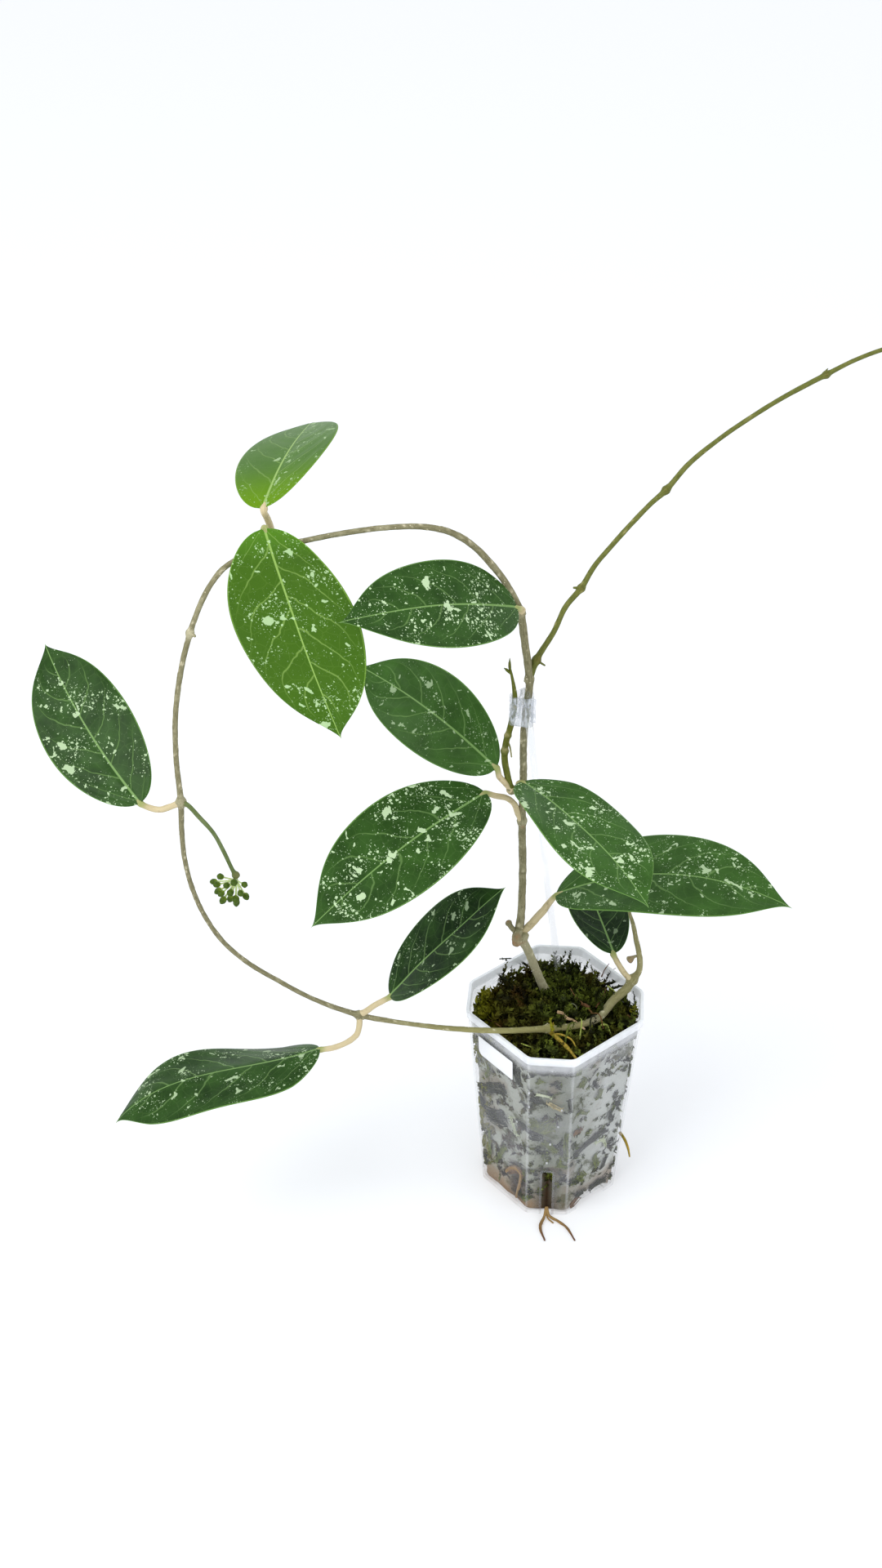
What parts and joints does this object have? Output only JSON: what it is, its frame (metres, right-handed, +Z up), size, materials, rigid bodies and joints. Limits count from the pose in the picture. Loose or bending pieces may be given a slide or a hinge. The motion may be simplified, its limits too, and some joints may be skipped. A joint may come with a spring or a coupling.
{
  "type": "potted wax plant",
  "caption": "Climbing wax plant with speckled waxy leaves and a bud cluster, looped over a clear rod and rooted in moss in a clear square pot.",
  "frame": {"origin": "centre of the pot's foot, where it stands on the ground", "axes": "+Z up along the vine, -Y towards the side the picture was taken from, +X to the right seen from there"},
  "size_m": [0.4179, 0.1664, 0.4579],
  "materials": {
    "pot_plastic": "clear, slightly milky moulded plastic",
    "moss": "damp fibrous moss round the roots",
    "label": "plain matt paper",
    "clear_plastic": "clear and glossy",
    "bark": "dull grey-brown bark with pale scars",
    "shoot": "smooth olive young stem",
    "runner": "smooth olive-brown young stem",
    "leaf": "dark waxy leaf with pale specks",
    "young_leaf": "bright waxy leaf with pale specks",
    "peduncle": "smooth dull green stalk",
    "bud": "small waxy green buds on pale stalks",
    "root": "tan roots"
  },
  "bodies": {
    "root": {"pot": "pot_plastic", "moss": "moss", "label": "label", "support_rod": "clear_plastic", "tape_tie": "clear_plastic", "main_vine": "bark", "side_shoot": "shoot", "runner": "runner", "leaf_01": "leaf", "leaf_02": "young_leaf", "leaf_03": "leaf", "leaf_04": "leaf", "leaf_05": "leaf", "leaf_06": "leaf", "leaf_07": "leaf", "leaf_08": "leaf", "leaf_09": "leaf", "leaf_10": "leaf", "leaf_11": "leaf", "peduncle": "peduncle", "bud_cluster": "bud", "aerial_roots": "root", "drain_roots": "root", "side_root": "root"}
  },
  "joints": []
}
